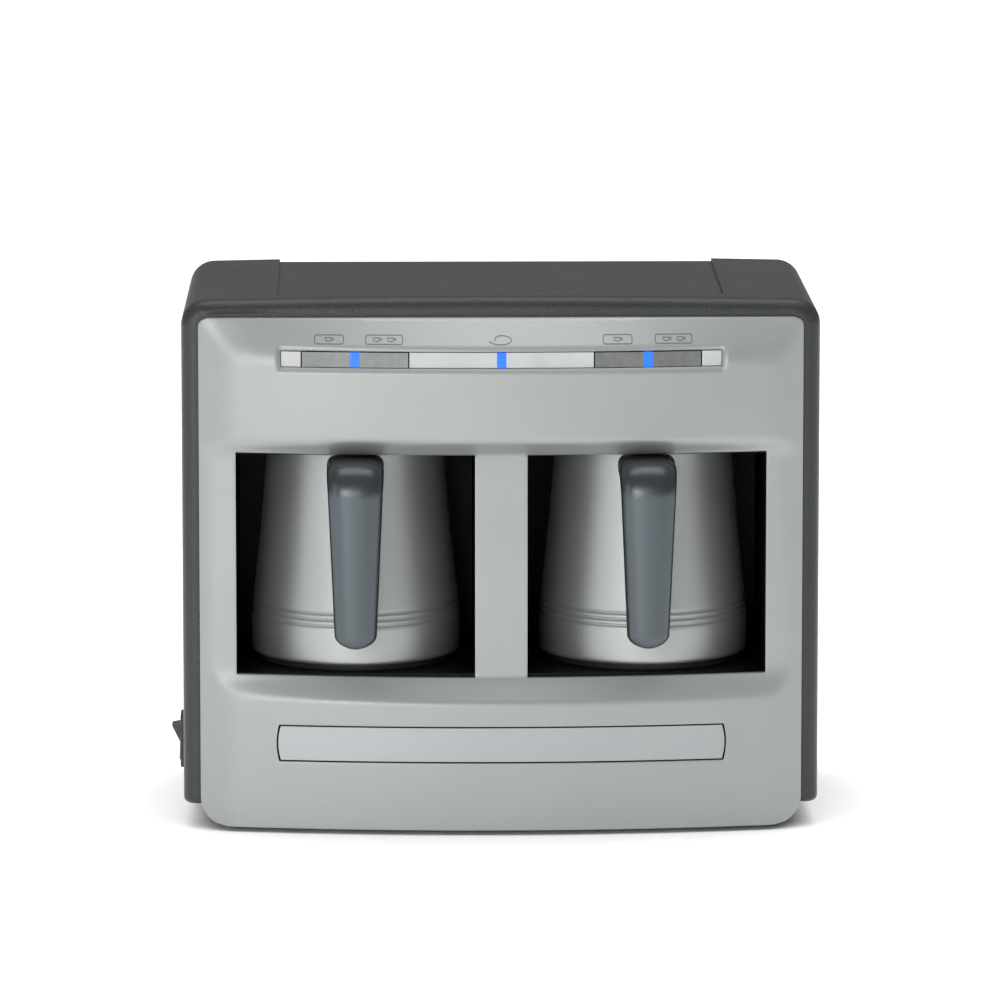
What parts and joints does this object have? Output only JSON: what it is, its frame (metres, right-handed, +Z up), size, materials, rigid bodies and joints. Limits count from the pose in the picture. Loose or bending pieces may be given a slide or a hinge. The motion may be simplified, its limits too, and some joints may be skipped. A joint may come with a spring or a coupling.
{
  "type": "electric turkish coffee maker",
  "caption": "Countertop electric turkish coffee maker: dark wrap-round casing, satin silver bowed front, pull-out pots with hanging handles, rocking buttons and a side power switch.",
  "frame": {"origin": "on the table, under the middle of the whole object's box", "axes": "+Z up, +X to the right seen from the front, +Y from the front panel to the back cover"},
  "size_m": [0.3061, 0.19, 0.253],
  "materials": {
    "wrap_plastic": "fine leather-like moulded grain",
    "panel_silver": "satin silver paint on a moulded plastic panel",
    "nameplate_silver": "satin silver, bare",
    "trim_grey": "light grey satin plastic",
    "button_chrome": "mirror chrome plating",
    "blue_lens": "blue light guide, lit",
    "circuit_board": "green glass-epoxy board",
    "inner_plastic": "plain black moulding",
    "bay_plastic": "black heat-resistant plastic",
    "base_plastic": "plain dark moulding",
    "cover_plastic": "fine grain",
    "gland_plastic": "satin",
    "switch_plastic": "semi-gloss black",
    "rocker_plastic": "semi-gloss dark grey",
    "led_resin": "clear tinted resin",
    "screw_steel": "plain steel",
    "pin_steel": "ground",
    "foot_rubber": "soft matt rubber",
    "transformer_iron": "laminated core with taped winding",
    "relay_plastic": "semi-gloss",
    "capacitor_can": "sleeved can",
    "terminal_plastic": "plain",
    "sensor_glass": "dark infrared window",
    "socket_plastic": "heat-resistant moulding",
    "contact_brass": "plain brass",
    "pot_silver": "satin silver",
    "vessel_steel": "brushed inside",
    "pot_base_plastic": "satin",
    "heater_aluminium": "cast",
    "coil_steel": "oxidised sheath",
    "handle_plastic": "satin blue-grey",
    "handle_inner_plastic": "satin dark grey"
  },
  "bodies": {
    "casing": {"outer_wrap": "wrap_plastic", "front_panel": "panel_silver", "panel_screws": "screw_steel", "nameplate": "nameplate_silver", "button_trim": "trim_grey", "button_pivot_pins": "pin_steel", "indicator_lens": "blue_lens", "control_board": "circuit_board", "board_brackets": "inner_plastic", "tact_switches": "switch_plastic", "indicator_leds": "led_resin", "base_plate": "base_plastic", "base_screws": "screw_steel", "rubber_feet": "foot_rubber", "rear_cover": "cover_plastic", "rear_screws": "screw_steel", "cord_gland": "gland_plastic", "power_switch_body": "switch_plastic", "power_board": "circuit_board", "board_posts": "inner_plastic", "transformer": "transformer_iron", "relays": "relay_plastic", "capacitors": "capacitor_can", "terminal_block": "terminal_plastic", "buzzer": "switch_plastic", "bay_liner_left": "bay_plastic", "bay_liner_right": "bay_plastic", "sensor_window_left": "sensor_glass", "sensor_window_right": "sensor_glass", "sensor_housing_left": "inner_plastic", "sensor_housing_right": "inner_plastic", "power_socket_left": "socket_plastic", "power_socket_right": "socket_plastic", "socket_contacts_left": "contact_brass", "socket_contacts_right": "contact_brass"},
    "pot_left": {"pot_sleeve_left": "pot_silver", "pot_vessel_left": "vessel_steel", "pot_base_left": "pot_base_plastic", "pot_heater_left": "heater_aluminium", "heater_coil_left": "coil_steel", "pot_plug_left": "pot_base_plastic", "plug_pins_left": "contact_brass", "pot_handle_left": "handle_plastic", "handle_insert_left": "handle_inner_plastic", "handle_screw_left": "screw_steel"},
    "button_left": {"button_left": "button_chrome", "button_lens_left": "blue_lens"},
    "pot_right": {"pot_sleeve_right": "pot_silver", "pot_vessel_right": "vessel_steel", "pot_base_right": "pot_base_plastic", "pot_heater_right": "heater_aluminium", "heater_coil_right": "coil_steel", "pot_plug_right": "pot_base_plastic", "plug_pins_right": "contact_brass", "pot_handle_right": "handle_plastic", "handle_insert_right": "handle_inner_plastic", "handle_screw_right": "screw_steel"},
    "button_right": {"button_right": "button_chrome", "button_lens_right": "blue_lens"},
    "power_rocker": {"power_switch_rocker": "rocker_plastic"}
  },
  "joints": [
    {"name": "pot_left_pull_out", "type": "slide", "parent": "casing", "child": "pot_left", "axis": [0, -1, 0], "range_m": [0, 0.17]},
    {"name": "pot_right_pull_out", "type": "slide", "parent": "casing", "child": "pot_right", "axis": [0, -1, 0], "range_m": [0, 0.17]},
    {"name": "button_left_rock", "type": "hinge", "parent": "casing", "child": "button_left", "pos_m": [-0.06533, -0.06814, 0.2254], "axis": [0, 0, 1], "range_deg": [-2.2, 2.2], "stiffness_Nm_per_rad": 0.6},
    {"name": "button_right_rock", "type": "hinge", "parent": "casing", "child": "button_right", "pos_m": [0.07147, -0.06814, 0.2254], "axis": [0, 0, 1], "range_deg": [-2.2, 2.2], "stiffness_Nm_per_rad": 0.6},
    {"name": "power_switch_rock", "type": "hinge", "parent": "casing", "child": "power_rocker", "pos_m": [-0.14643, -0.021, 0.0358], "axis": [0, 1, 0], "range_deg": [0, 24]}
  ]
}
